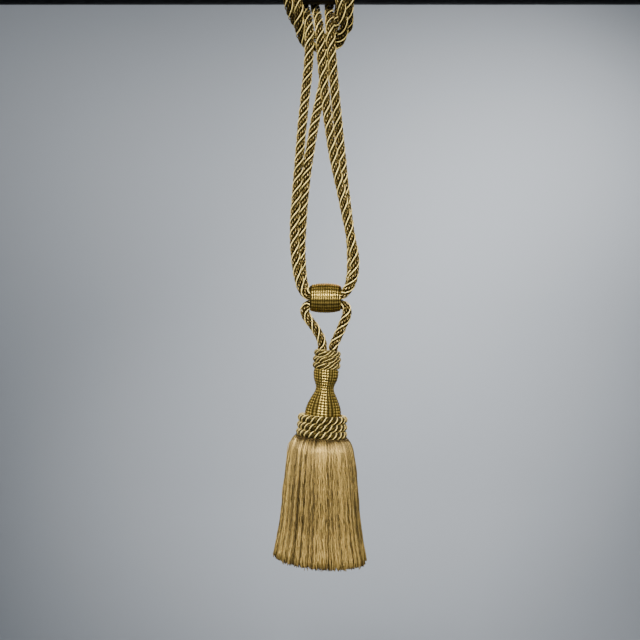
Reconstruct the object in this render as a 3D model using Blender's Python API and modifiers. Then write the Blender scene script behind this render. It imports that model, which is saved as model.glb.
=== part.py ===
"""Curtain tieback tassel, hitched over a plain rod.

One twisted rope makes both loops of the tieback. Its two ends come out of the tassel's knot, pass
with the loops through a thread-wound slider, and each loop is hitched over the rod with a lark's
head. Below the knot hang a turned, thread-wound head, a collar of twisted cord and a cut skirt.

Metres, +Z up, +X to the right, +Y to the back. The origin is on the rod's axis, above the tassel.
"""

import math
import random

import bmesh
import bpy
from mathutils import Matrix, Vector

MM = 0.001  # one millimetre in metres

# Rod
ROD_DIAMETER = 28.0 * MM
ROD_LENGTH = 700.0 * MM
ROD_SIDES = 24

# Rope: three thick strands with a thin cord in each groove, laid to the right
ROPE_DIAMETER = 10.0 * MM
ROPE_GROOVE_DIAMETER = 7.9 * MM
ROPE_LOBES = 3
ROPE_PITCH = 37.2 * MM
ROPE_STEPS_PER_TURN = 10

# Slider: a thread-wound barrel whose bore takes three lanes of the rope
SLIDER_CENTRE = (5.4, 0.0, -308.1)  # mm
SLIDER_LENGTH = 31.0 * MM
SLIDER_BORE_DIAMETER = 23.8 * MM
SLIDER_SIDES = 28
LANE_RADIUS = 6.2 * MM
LANE_TURN = 120.0  # degrees that the three lanes turn round each other along the bore
LANE_STATIONS = (0.14, 0.38, 0.62, 0.86)  # shares of the bore's length

# Tassel: its own axis runs down from the top of the knot, leaning a little
TASSEL_TOP = (7.7, 0.0, -359.5)  # mm
TASSEL_LEAN = math.radians(4.2)
SKIRT_SWING = 0.0655  # the skirt hangs nearer to plumb than the head, sideways drift for each mm down

# Knot of twisted cord, one row for each turn
KNOT_CORD_DIAMETER = 6.0 * MM
KNOT_CORD_GROOVE_DIAMETER = 4.5 * MM
KNOT_TWISTS = 7
KNOT_ROWS = (
    # depth below the knot's top, radius of the turn (mm)
    (3.4, 10.9),
    (9.7, 11.4),
    (16.0, 11.9),
)

# Collar of twisted cord, one row for each turn
COLLAR_CORD_DIAMETER = 7.0 * MM
COLLAR_CORD_GROOVE_DIAMETER = 5.2 * MM
COLLAR_TWISTS = 12
COLLAR_ROWS = (
    # depth below the knot's top, radius of the turn (mm)
    (69.0, 21.6),
    (76.3, 21.9),
    (83.6, 22.3),
)

CORD_LOBES = 2
KNOT_STEPS_PER_TWIST = 8
COLLAR_STEPS_PER_TWIST = 6

# Head: a turned mould, from the peg inside the knot to the collar
HEAD_SIDES = 30
HEAD_PROFILE = (
    # depth below the knot's top, radius (mm)
    (0.6, 0.0),
    (0.6, 7.2),
    (1.2, 7.5),
    (19.2, 8.5),
    (19.9, 11.6),
    (21.6, 12.7),
    (25.5, 12.6),
    (30.0, 11.8),
    (33.5, 10.4),
    (36.5, 9.4),
    (39.5, 9.3),
    (42.5, 10.1),
    (47.0, 12.3),
    (51.5, 14.6),
    (56.0, 16.6),
    (60.5, 17.9),
    (64.0, 18.4),
    (65.8, 18.1),
    (66.8, 17.8),
    (87.2, 17.8),
    (87.2, 0.0),
)

# Skirt: a shoulder of bound threads and the locks that hang from it
SHOULDER_SIDES = 32
SHOULDER_PROFILE = (
    # depth below the knot's top, radius (mm)
    (87.5, 0.0),
    (87.5, 24.2),
    (88.6, 27.0),
    (92.0, 29.7),
    (96.0, 31.6),
    (100.0, 32.8),
    (100.0, 0.0),
)
SKIRT_FLARE = (
    # depth below the knot's top, outer radius of the skirt (mm)
    (98.0, 32.2),
    (133.0, 36.6),
    (175.0, 40.8),
    (207.4, 46.5),
)
LOCK_RINGS = (
    # locks in the ring, share of the skirt's radius at the outer and at the inner side, sections
    (72, 1.00, 0.885, (0, 1, 2, 3)),
    (46, 0.82, 0.66, (0, 1, 3)),
    (28, 0.60, 0.42, (0, 1, 3)),
    (12, 0.34, 0.12, (0, 1, 3)),
)
LOCK_FILL = 0.82  # a lock's width as a share of its place round the ring
LOCK_UNEVEN = 1.1 * MM  # how far the cut ends differ in length
LOCK_SEED = 7

# The rope's route, hand-chosen points of its centre line in mm: x, y, z
NECK_LEFT = (
    (2.2, 0.0, -359.3),
    (2.4, 0.0, -355.0),
    (1.1, 0.0, -349.5),
    (-3.1, 0.0, -341.0),
    (-8.1, 0.0, -333.6),
    (-12.4, 0.0, -328.2),
    (-15.0, 0.0, -322.6),
    (-14.1, 0.0, -317.2),
    (-10.2, 0.0, -314.4),
)
RIGHT_LOOP = (
    # from the slider up the front right strand
    (22.8, -5.4, -304.0),
    (27.2, -5.6, -300.0),
    (31.4, -5.6, -292.4),
    (34.0, -5.5, -282.0),
    (34.3, -5.5, -267.0),
    (31.1, -5.4, -250.0),
    (26.5, -5.2, -228.0),
    (20.3, -5.0, -198.0),
    (14.5, -5.0, -172.0),
    (9.5, -5.0, -141.0),
    (5.5, -5.0, -108.0),
    (2.1, -5.0, -76.0),
    (0.4, -5.0, -54.0),
    (-0.3, -3.0, -40.0),
    # behind and over the rod to the left
    (-1.5, 2.6, -30.0),
    (-3.2, 10.4, -20.0),
    (-5.0, 16.9, -9.9),
    (-7.0, 19.5, 2.5),
    (-12.0, 13.7, 14.0),
    (-17.0, 0.0, 19.6),
    (-20.8, -14.0, 13.9),
    (-21.9, -19.6, 0.0),
    # down the front and round behind the hanging strands
    (-21.8, -18.5, -14.0),
    (-20.9, -13.5, -26.0),
    (-20.8, -5.6, -36.0),
    (-19.4, 3.5, -43.5),
    (-14.0, 10.8, -50.0),
    (-3.0, 13.4, -53.0),
    (7.5, 16.2, -53.0),
    (17.0, 15.0, -50.0),
    (22.8, 5.5, -43.5),
    (23.0, -6.0, -36.5),
    (21.4, -14.5, -27.0),
    # up the front and over the rod to the right
    (19.5, -19.0, -13.5),
    (19.0, -19.6, 0.0),
    (17.8, -14.0, 14.0),
    (15.8, 0.0, 19.7),
    (13.2, 14.0, 13.9),
    (11.2, 19.6, 1.5),
    (9.6, 16.9, -9.9),
    # down the rear right strand to the slider
    (9.4, 10.4, -20.0),
    (9.7, 2.6, -30.0),
    (10.1, -3.0, -40.0),
    (11.0, -5.0, -54.0),
    (12.6, -5.0, -76.0),
    (15.1, -2.6, -105.0),
    (18.3, 1.0, -136.0),
    (20.9, 3.4, -160.0),
    (24.1, 4.8, -192.0),
    (27.7, 5.3, -222.0),
    (30.9, 5.4, -250.0),
    (31.7, 5.4, -270.0),
    (31.2, 5.3, -284.0),
    (29.8, 5.3, -293.0),
    (26.9, 5.3, -300.8),
    (22.2, 5.2, -304.2),
)
LEFT_LOOP = (
    # from the slider up the front left strand
    (-9.7, -5.3, -305.4),
    (-14.2, -5.6, -303.8),
    (-17.6, -5.4, -299.4),
    (-20.4, -5.0, -291.2),
    (-23.0, -4.6, -278.0),
    (-25.2, -4.2, -257.0),
    (-25.5, -3.8, -236.0),
    (-23.7, -3.8, -208.0),
    (-21.1, -3.2, -176.0),
    (-18.1, -3.5, -140.0),
    (-14.5, -4.5, -106.0),
    (-11.5, -5.0, -76.0),
    (-10.4, -5.0, -54.0),
    (-10.5, -3.1, -40.0),
    # behind and over the rod to the left
    (-11.7, 2.6, -30.0),
    (-13.5, 10.4, -20.0),
    (-15.6, 16.9, -9.9),
    (-18.6, 19.5, 2.5),
    (-23.4, 13.7, 14.0),
    (-28.2, 0.0, 19.6),
    (-31.6, -14.0, 13.9),
    (-32.4, -19.5, 0.0),
    # close under the rod and round behind the hanging strands
    (-32.0, -14.5, -13.5),
    (-29.8, -7.0, -21.5),
    (-26.6, 2.0, -27.5),
    (-20.6, 11.5, -33.0),
    (-11.0, 18.4, -38.0),
    (2.0, 22.0, -40.5),
    (14.0, 24.5, -39.0),
    (22.0, 22.8, -36.0),
    (27.6, 15.5, -33.0),
    (29.0, 7.0, -30.0),
    (28.6, -2.0, -26.5),
    (28.6, -9.5, -20.5),
    # up the front and over the rod to the right
    (29.6, -16.0, -11.8),
    (29.6, -19.5, 0.0),
    (28.4, -14.0, 13.9),
    (26.6, 0.0, 19.7),
    (24.0, 14.0, 13.9),
    (22.2, 19.5, 1.5),
    (20.2, 18.6, -9.8),
    # down behind the others to the rear left strand and the slider
    (18.1, 16.9, -19.5),
    (15.2, 13.8, -30.0),
    (11.8, 9.8, -40.0),
    (7.8, 5.8, -54.0),
    (6.4, 5.5, -72.0),
    (2.3, 5.3, -96.0),
    (-3.7, 4.2, -124.0),
    (-8.3, 3.2, -150.0),
    (-12.5, 3.0, -176.0),
    (-16.1, 3.4, -208.0),
    (-18.1, 4.0, -236.0),
    (-19.1, 4.6, -260.0),
    (-18.4, 5.0, -278.0),
    (-16.9, 5.3, -291.0),
    (-14.2, 5.1, -300.2),
    (-9.7, 5.0, -305.0),
)
NECK_RIGHT = (
    (21.9, 0.0, -314.5),
    (25.9, 0.0, -317.2),
    (27.1, 0.0, -322.4),
    (25.1, 0.0, -329.6),
    (21.4, 0.0, -338.0),
    (17.5, 0.0, -347.0),
    (14.0, 0.0, -354.5),
    (13.2, 0.0, -360.0),
)

RIGHT_LAY = 1.0
LEFT_LAY = -1.0


# ---------------------------------------------------------------- scene helpers


def clear_scene():
    """Remove every object, so the script starts from nothing."""
    for old in list(bpy.data.objects):
        bpy.data.objects.remove(old, do_unlink=True)


def new_collection(name):
    """Make a collection linked under the scene."""
    collection = bpy.data.collections.new(name)
    bpy.context.scene.collection.children.link(collection)
    return collection


def plain_material(name, color, roughness, metallic=0.0):
    """Make a Principled material of one colour."""
    material = bpy.data.materials.new(name)
    material.use_nodes = True
    shader = material.node_tree.nodes["Principled BSDF"]
    shader.inputs["Base Color"].default_value = (*color, 1.0)
    shader.inputs["Roughness"].default_value = roughness
    shader.inputs["Metallic"].default_value = metallic
    return material


def mesh_object(name, bm, collection, material, parent=None):
    """Turn a bmesh into a smooth-shaded object."""
    mesh = bpy.data.meshes.new(name)
    bm.to_mesh(mesh)
    bm.free()
    mesh.materials.append(material)
    mesh.shade_smooth()
    mesh.set_sharp_from_angle(angle=math.radians(50.0))
    piece = bpy.data.objects.new(name, mesh)
    piece.parent = parent
    collection.objects.link(piece)
    return piece


# ---------------------------------------------------------------- turned pieces


def turned_piece(name, rows, sides, collection, material, closed=False, parent=None):
    """Turn a profile of (height, radius) rows in metres about the piece's own Z axis."""
    bm = bmesh.new()
    ring = [bm.verts.new((radius, 0.0, height)) for height, radius in rows]
    for upper, lower in zip(ring, ring[1:]):
        bm.edges.new((upper, lower))
    if closed:
        bm.edges.new((ring[-1], ring[0]))
    piece = mesh_object(name, bm, collection, material, parent)
    screw = piece.modifiers.new("turn", "SCREW")
    screw.axis = "Z"
    screw.angle = math.tau
    screw.steps = sides
    screw.render_steps = sides
    screw.use_merge_vertices = True
    screw.merge_threshold = 0.01 * MM
    screw.use_smooth_shade = True
    return piece


def below_knot(rows):
    """Read (depth, radius) rows in mm as (height, radius) rows in metres on the tassel's axis."""
    return [(-depth * MM, radius * MM) for depth, radius in rows]


# ---------------------------------------------------------------- twisted cords


def star_section(name, diameter, groove_diameter, lobes, guides):
    """Make the section of a laid cord: a star that is swept, never built itself."""
    curve = bpy.data.curves.new(name, "CURVE")
    curve.dimensions = "2D"
    corners = 2 * lobes
    spline = curve.splines.new("POLY")
    spline.points.add(corners - 1)
    for index, point in enumerate(spline.points):
        angle = -math.tau * index / corners
        radius = (groove_diameter if index % 2 else diameter) / 2.0
        point.co = (radius * math.cos(angle), radius * math.sin(angle), 0.0, 1.0)
    spline.use_cyclic_u = True
    guide = bpy.data.objects.new(name, curve)
    guide.hide_render = True
    guide.display_type = "WIRE"
    guides.objects.link(guide)
    return guide


def twisted_cord(name, points, twist_step, section, collection, material, cyclic=False):
    """Sweep a star section along the points, turning it by twist_step at each one."""
    curve = bpy.data.curves.new(name, "CURVE")
    curve.dimensions = "3D"
    curve.twist_mode = "MINIMUM"
    curve.bevel_mode = "OBJECT"
    curve.bevel_object = section
    curve.use_fill_caps = not cyclic
    spline = curve.splines.new("POLY")
    spline.points.add(len(points) - 1)
    for index, (point, place) in enumerate(zip(spline.points, points)):
        point.co = (*place, 1.0)
        point.tilt = twist_step * index
    spline.use_cyclic_u = cyclic
    spline.use_smooth = True
    curve.materials.append(material)
    cord = bpy.data.objects.new(name, curve)
    collection.objects.link(cord)
    return cord


def cord_ring(name, depth, radius, twists, steps_per_twist, section, collection, material, parent):
    """Make one closed turn of left-laid cord round the tassel's axis; depth and radius in mm."""
    steps = twists * steps_per_twist
    points = []
    for index in range(steps):
        angle = math.tau * index / steps
        points.append(
            Vector((radius * math.cos(angle), radius * math.sin(angle), -depth)) * MM
        )
    twist_step = LEFT_LAY * math.tau / steps_per_twist
    ring = twisted_cord(name, points, twist_step, section, collection, material, cyclic=True)
    ring.parent = parent
    return ring


# ---------------------------------------------------------------- the rope's route


def lane(start_angle):
    """Give the centre line of one lane through the slider's bore, from left to right, in mm."""
    centre = Vector(SLIDER_CENTRE)
    length = SLIDER_LENGTH / MM
    radius = LANE_RADIUS / MM
    points = []
    for share in LANE_STATIONS:
        angle = math.radians(start_angle + LANE_TURN * share)
        offset = Vector((length * (share - 0.5), radius * math.sin(angle), radius * math.cos(angle)))
        points.append(tuple(centre + offset))
    return points


def rope_route():
    """Join the stretches of the one rope, from the left neck to the right neck, in mm."""
    neck_to_right_loop = lane(180.0)
    right_loop_to_left_loop = lane(-60.0)
    left_loop_to_neck = lane(60.0)
    route = list(NECK_LEFT) + neck_to_right_loop
    route += list(RIGHT_LOOP) + right_loop_to_left_loop[::-1]
    route += list(LEFT_LOOP) + left_loop_to_neck
    route += list(NECK_RIGHT)
    return [Vector(point) * MM for point in route]


def smooth_curve(route, samples=24):
    """Run a centripetal Catmull-Rom curve through the route's points."""
    first = 2.0 * route[0] - route[1]
    last = 2.0 * route[-1] - route[-2]
    knots = [first] + route + [last]
    curve = []
    for p0, p1, p2, p3 in zip(knots, knots[1:], knots[2:], knots[3:]):
        t1 = math.sqrt((p1 - p0).length)
        t2 = t1 + math.sqrt((p2 - p1).length)
        t3 = t2 + math.sqrt((p3 - p2).length)
        for index in range(samples):
            t = t1 + (t2 - t1) * index / samples
            a1 = p0.lerp(p1, t / t1)
            a2 = p1.lerp(p2, (t - t1) / (t2 - t1))
            a3 = p2.lerp(p3, (t - t2) / (t3 - t2))
            b1 = a1.lerp(a2, t / t2)
            b2 = a2.lerp(a3, (t - t1) / (t3 - t1))
            curve.append(b1.lerp(b2, (t - t1) / (t2 - t1)))
    curve.append(route[-1])
    return curve


def even_steps(curve, step):
    """Read points off a curve at even distances, with both ends kept."""
    length = sum((b - a).length for a, b in zip(curve, curve[1:]))
    count = round(length / step)
    spacing = length / count
    points = [curve[0]]
    travelled = 0.0
    for a, b in zip(curve, curve[1:]):
        stretch = (b - a).length
        while len(points) < count and travelled + stretch >= spacing * len(points):
            share = (spacing * len(points) - travelled) / stretch
            points.append(a.lerp(b, share))
        travelled += stretch
    points.append(curve[-1])
    return points


# ---------------------------------------------------------------- the pieces


def build_rod(collection, material):
    """Make the plain round rod that the tieback is hitched over, along X."""
    bpy.ops.mesh.primitive_cylinder_add(
        vertices=ROD_SIDES,
        radius=ROD_DIAMETER / 2.0,
        depth=ROD_LENGTH,
        rotation=(0.0, math.pi / 2.0, 0.0),
    )
    rod = bpy.context.object
    rod.name = "rod"
    rod.data.name = "rod"
    rod.data.materials.append(material)
    rod.data.shade_smooth()
    rod.data.set_sharp_from_angle(angle=math.radians(40.0))
    for owner in list(rod.users_collection):
        owner.objects.unlink(rod)
    collection.objects.link(rod)
    return rod


def build_rope(collection, guides, material):
    """Make the one rope, with its lay raised, from knot to knot."""
    section = star_section(
        "rope_section", ROPE_DIAMETER, ROPE_GROOVE_DIAMETER, ROPE_LOBES, guides
    )
    step = ROPE_PITCH / ROPE_STEPS_PER_TURN
    points = even_steps(smooth_curve(rope_route()), step)
    twist_step = RIGHT_LAY * math.tau / ROPE_STEPS_PER_TURN
    return twisted_cord("rope", points, twist_step, section, collection, material)


def build_slider(collection, material):
    """Make the barrel that keeps the loops together, with an open bore along X."""
    half = SLIDER_LENGTH / 2.0
    bore = SLIDER_BORE_DIAMETER / 2.0
    rows = [
        (half, bore),
        (half, 12.6 * MM),
        (0.86 * half, 13.5 * MM),
        (0.5 * half, 14.6 * MM),
        (0.0, 15.0 * MM),
        (-0.5 * half, 14.6 * MM),
        (-0.86 * half, 13.5 * MM),
        (-half, 12.6 * MM),
        (-half, bore),
    ]
    slider = turned_piece("slider", rows, SLIDER_SIDES, collection, material, closed=True)
    slider.location = Vector(SLIDER_CENTRE) * MM
    slider.rotation_euler = (0.0, math.pi / 2.0, 0.0)
    return slider


def build_rows(name, rows, twists, steps, section, collection, material, parent):
    """Make one ring of twisted cord for each row of a knot or collar."""
    for number, (depth, radius) in enumerate(rows, start=1):
        cord_ring(
            f"{name}_{number}", depth, radius, twists, steps, section, collection, material, parent
        )


def hang_to_plumb(bm):
    """Swing a piece of the skirt sideways with depth, so it hangs nearer to plumb than the head."""
    shear = Matrix.Shear("XY", 4, (-SKIRT_SWING, 0.0))
    top = Matrix.Translation((0.0, 0.0, -SHOULDER_PROFILE[0][0] * MM))
    bmesh.ops.transform(bm, matrix=top @ shear @ top.inverted(), verts=bm.verts)


def build_shoulder(collection, material, parent):
    """Turn the skirt's shoulder, the bound tops of its threads under the collar."""
    bm = bmesh.new()
    profile = [bm.verts.new((radius, 0.0, height)) for height, radius in below_knot(SHOULDER_PROFILE)]
    edges = [bm.edges.new(pair) for pair in zip(profile, profile[1:])]
    bmesh.ops.spin(
        bm,
        geom=profile + edges,
        axis=(0.0, 0.0, 1.0),
        cent=(0.0, 0.0, 0.0),
        angle=math.tau,
        steps=SHOULDER_SIDES,
        use_merge=True,
    )
    bmesh.ops.remove_doubles(bm, verts=bm.verts, dist=0.01 * MM)
    bmesh.ops.recalc_face_normals(bm, faces=bm.faces)
    hang_to_plumb(bm)
    return mesh_object("skirt", bm, collection, material, parent)


def add_lock(bm, angle, half_angle, outer, inner, sections, extra):
    """Hang one four-sided lock from the shoulder, by extruding its root through the sections."""

    def corners(section):
        depth, flare = SKIRT_FLARE[section]
        height = -depth * MM
        if section == sections[-1]:
            height -= extra
        places = []
        for share, turn in ((outer, -1), (outer, 1), (inner, 1), (inner, -1)):
            radius = share * flare * MM
            around = angle + turn * half_angle
            places.append((radius * math.cos(around), radius * math.sin(around), height))
        return places

    face = bm.faces.new([bm.verts.new(place) for place in corners(sections[0])])
    for section in sections[1:]:
        face = bmesh.ops.extrude_discrete_faces(bm, faces=[face])["faces"][0]
        for vert, place in zip(face.verts, corners(section)):
            vert.co = place


def build_locks(collection, material, parent):
    """Make all the locks as one mesh, ring by ring, each a little longer or shorter."""
    chance = random.Random(LOCK_SEED)
    bm = bmesh.new()
    for count, outer, inner, sections in LOCK_RINGS:
        half_angle = LOCK_FILL * math.pi / count
        for index in range(count):
            angle = math.tau * (index + chance.uniform(-0.05, 0.05)) / count
            extra = chance.uniform(-LOCK_UNEVEN, LOCK_UNEVEN)
            add_lock(bm, angle, half_angle, outer, inner, sections, extra)
    open_edges = [edge for edge in bm.edges if edge.is_boundary]
    bmesh.ops.holes_fill(bm, edges=open_edges, sides=4)
    bmesh.ops.recalc_face_normals(bm, faces=bm.faces)
    hang_to_plumb(bm)
    locks = mesh_object("skirt_locks", bm, collection, material, parent)
    locks.hide_render = True
    locks.display_type = "WIRE"
    return locks


def build_skirt(collection, guides, material, parent):
    """Make the skirt: its shoulder with all the locks joined to it."""
    skirt = build_shoulder(collection, material, parent)
    join = skirt.modifiers.new("locks", "BOOLEAN")
    join.operation = "UNION"
    join.object = build_locks(guides, material, parent)
    join.solver = "EXACT"
    return skirt


def main():
    """Build every piece of the tieback."""
    clear_scene()
    parts = new_collection("curtain_tieback_tassel")
    guides = new_collection("guides")

    black = plain_material("rod_black", (0.012, 0.011, 0.011), 0.45)
    gold_rope = plain_material("rope_gold", (0.30, 0.20, 0.07), 0.55)
    gold_thread = plain_material("thread_gold", (0.36, 0.25, 0.08), 0.42)
    straw_skirt = plain_material("skirt_straw", (0.42, 0.31, 0.13), 0.6)

    build_rod(parts, black)
    build_rope(parts, guides, gold_rope)
    build_slider(parts, gold_thread)

    tassel = bpy.data.objects.new("tassel_axis", None)
    tassel.location = Vector(TASSEL_TOP) * MM
    tassel.rotation_euler = (0.0, TASSEL_LEAN, 0.0)
    parts.objects.link(tassel)

    knot_section = star_section(
        "knot_section", KNOT_CORD_DIAMETER, KNOT_CORD_GROOVE_DIAMETER, CORD_LOBES, guides
    )
    build_rows(
        "knot_turn", KNOT_ROWS, KNOT_TWISTS, KNOT_STEPS_PER_TWIST,
        knot_section, parts, gold_rope, tassel,
    )
    turned_piece(
        "head", below_knot(HEAD_PROFILE), HEAD_SIDES, parts, gold_thread, parent=tassel
    )
    collar_section = star_section(
        "collar_section", COLLAR_CORD_DIAMETER, COLLAR_CORD_GROOVE_DIAMETER, CORD_LOBES, guides
    )
    build_rows(
        "collar_turn", COLLAR_ROWS, COLLAR_TWISTS, COLLAR_STEPS_PER_TWIST,
        collar_section, parts, gold_rope, tassel,
    )
    build_skirt(parts, guides, straw_skirt, tassel)


main()
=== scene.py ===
"""Curtain tieback tassel hitched over a plain rod, dressed in its real threads.

The rope is rebuilt from its yarns and cords, the slider and the head from their wound threads, the
knot and the collar from their laid cords and the skirt from its hanging threads. Metres, +Z up; the
origin is on the rod's axis, above the tassel.
"""

from __future__ import annotations

import logging
import math
from dataclasses import dataclass, replace
from enum import Enum

import bmesh
import bpy
import numpy as np
from mathutils import Matrix, Vector


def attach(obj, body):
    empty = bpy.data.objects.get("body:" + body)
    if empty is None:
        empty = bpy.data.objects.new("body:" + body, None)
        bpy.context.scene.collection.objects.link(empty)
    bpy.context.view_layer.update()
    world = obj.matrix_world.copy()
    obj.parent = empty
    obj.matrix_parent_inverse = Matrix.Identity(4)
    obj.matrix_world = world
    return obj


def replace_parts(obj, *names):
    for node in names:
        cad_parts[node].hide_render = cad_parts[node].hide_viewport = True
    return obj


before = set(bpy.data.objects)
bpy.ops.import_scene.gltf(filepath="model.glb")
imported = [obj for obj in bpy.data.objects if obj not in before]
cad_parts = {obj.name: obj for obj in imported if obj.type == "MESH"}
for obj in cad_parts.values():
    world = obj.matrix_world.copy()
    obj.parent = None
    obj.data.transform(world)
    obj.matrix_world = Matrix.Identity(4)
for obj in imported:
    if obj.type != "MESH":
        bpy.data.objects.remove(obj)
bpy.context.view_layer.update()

MM = 0.001
BODY = "root"
LOG = logging.getLogger("tieback")


class Lay(Enum):
    """The way the strands of a cord slope, seen with the cord upright."""

    RIGHT = 1.0
    LEFT = -1.0


# ---------------------------------------------------------------- colours and nodes


def linear(hex_code: str) -> tuple[float, float, float, float]:
    """Turn an sRGB hex value into a linear colour.

    Args:
        hex_code: colour such as "#C8A86A".

    Returns:
        Linear red, green, blue and alpha.
    """
    channels = [int(hex_code[i : i + 2], 16) / 255.0 for i in (1, 3, 5)]
    red, green, blue = (
        c / 12.92 if c <= 0.04045 else ((c + 0.055) / 1.055) ** 2.4 for c in channels
    )
    return red, green, blue, 1.0


def add_node(
    tree: bpy.types.NodeTree, kind: str, inputs: dict | None = None, **settings: object
) -> bpy.types.Node:
    """Add one node with its settings, values and links.

    Args:
        tree: node tree that takes the node.
        kind: the node's type.
        inputs: a value, or the output that is linked, for each input by name or number.
        **settings: the node's own properties.

    Returns:
        The new node.
    """
    node = tree.nodes.new(kind)
    for key, value in settings.items():
        setattr(node, key, value)
    for key, value in (inputs or {}).items():
        if isinstance(value, bpy.types.NodeSocket):
            tree.links.new(value, node.inputs[key])
        else:
            node.inputs[key].default_value = value
    return node


def empty_material(name: str) -> tuple[bpy.types.Material, bpy.types.NodeTree]:
    """Make a material with no nodes.

    Args:
        name: the material's name.

    Returns:
        The material and its node tree.
    """
    material = bpy.data.materials.new(name)
    material.use_nodes = True
    material.node_tree.nodes.clear()
    return material, material.node_tree


def set_stops(ramp: bpy.types.Node, stops: list[tuple[float, str]]) -> None:
    """Give a colour ramp its stops.

    Args:
        ramp: the colour ramp node.
        stops: place from 0 to 1 and sRGB hex value of each stop.
    """
    elements = ramp.color_ramp.elements
    while len(elements) < len(stops):
        elements.new(0.5)
    for element, (place, hex_code) in zip(elements, stops):
        element.position = place
        element.color = linear(hex_code)


# ---------------------------------------------------------------- finishes


@dataclass(frozen=True)
class ThreadFinish:
    """Viscose thread: spun from endless filaments, so it is smooth, lustrous and dyed through.

    Each thread carries its own tone, with painted shade and painted highlight where its piece adds
    them; the filaments run along it as fine lines of painted glint, and the dye is a little uneven
    over a few millimetres. A high metallic value gives the hard, coloured shine of tightly wound
    filament, and a low one the paler shine of loose or plied thread.
    """

    name: str
    dark: str
    body: str
    bright: str
    roughness: float
    metallic: float
    specular: float
    tint: str
    # a real filament is 0.02 mm across, too fine to show, so the streaks are drawn this coarse
    filament_mm: float = 0.32
    filament_run_mm: float = 4.0
    relief_mm: float = 0.05
    # how far the colour darkens between the streaks' painted glints
    glint_streak: float = 0.22
    mottle_mm: float = 5.0
    mottle: float = 0.35
    # ticks of painted glint along the thread: how strong, and their pitch along and round it in mm
    wrap_glint: float = 0.0
    wrap_glint_pitch_mm: float = 3.8
    wrap_glint_round_mm: float = 4.9

    def make(self) -> bpy.types.Material:
        """Build the material.

        Returns:
            The thread's material, which reads the piece's UV map in millimetres and its tone.
        """
        material, tree = empty_material(self.name)
        place = add_node(tree, "ShaderNodeTexCoord")
        tone = add_node(tree, "ShaderNodeAttribute", attribute_name="tone")
        mottle = add_node(
            tree,
            "ShaderNodeTexNoise",
            {"Vector": place.outputs["Object"], "Scale": 1.0 / (self.mottle_mm * MM), "Detail": 3.0},
        )
        uneven = add_node(
            tree,
            "ShaderNodeMath",
            {0: mottle.outputs["Fac"], 1: self.mottle, 2: -0.5 * self.mottle},
            operation="MULTIPLY_ADD",
        )
        uv = add_node(tree, "ShaderNodeUVMap", uv_map="UVMap")
        # ticks of painted glint along the thread, laid like the turns of a fine filament wrapped
        # round it
        glint_phase = add_node(
            tree,
            "ShaderNodeVectorMath",
            {
                0: uv.outputs["UV"],
                1: (math.tau / self.wrap_glint_pitch_mm, math.tau / self.wrap_glint_round_mm, 0.0),
            },
            operation="DOT_PRODUCT",
        )
        ticks = add_node(tree, "ShaderNodeMath", {0: glint_phase.outputs["Value"]}, operation="SINE")
        glint_ticked_tone = add_node(
            tree,
            "ShaderNodeMath",
            {0: ticks.outputs[0], 1: self.wrap_glint, 2: tone.outputs["Fac"]},
            operation="MULTIPLY_ADD",
        )
        shade = add_node(
            tree, "ShaderNodeMath", {0: glint_ticked_tone.outputs[0], 1: uneven.outputs[0]}, use_clamp=True
        )
        ramp = add_node(tree, "ShaderNodeValToRGB", {"Fac": shade.outputs[0]})
        set_stops(ramp, [(0.0, self.dark), (0.5, self.body), (1.0, self.bright)])

        # the filaments: streaks that run along the thread, far longer than they are wide; their
        # relief is a real bump, and their light and dark in the colour are painted glints and painted
        # shade
        fineness = (1.0 / self.filament_run_mm, 1.0 / self.filament_mm, 1.0)
        stretch = add_node(
            tree, "ShaderNodeMapping", {"Vector": uv.outputs["UV"], "Scale": fineness}
        )
        streaks = add_node(
            tree,
            "ShaderNodeTexNoise",
            {"Vector": stretch.outputs["Vector"], "Scale": 1.0, "Detail": 2.0},
        )
        glint_factor = add_node(
            tree,
            "ShaderNodeMapRange",
            {
                "Value": streaks.outputs["Fac"],
                "From Min": 0.3,
                "From Max": 0.7,
                "To Min": 1.0 - self.glint_streak,
            },
        )
        colour = add_node(
            tree,
            "ShaderNodeVectorMath",
            {0: ramp.outputs["Color"], "Scale": glint_factor.outputs["Result"]},
            operation="SCALE",
        )
        bump = add_node(
            tree,
            "ShaderNodeBump",
            {"Height": streaks.outputs["Fac"], "Strength": 0.6, "Distance": self.relief_mm * MM},
        )
        shader = add_node(
            tree,
            "ShaderNodeBsdfPrincipled",
            {
                "Base Color": colour.outputs["Vector"],
                "Roughness": self.roughness,
                "Metallic": self.metallic,
                "Specular IOR Level": self.specular,
                "Specular Tint": linear(self.tint),
                "Normal": bump.outputs["Normal"],
            },
        )
        add_node(tree, "ShaderNodeOutputMaterial", {"Surface": shader.outputs["BSDF"]})
        return material


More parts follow.
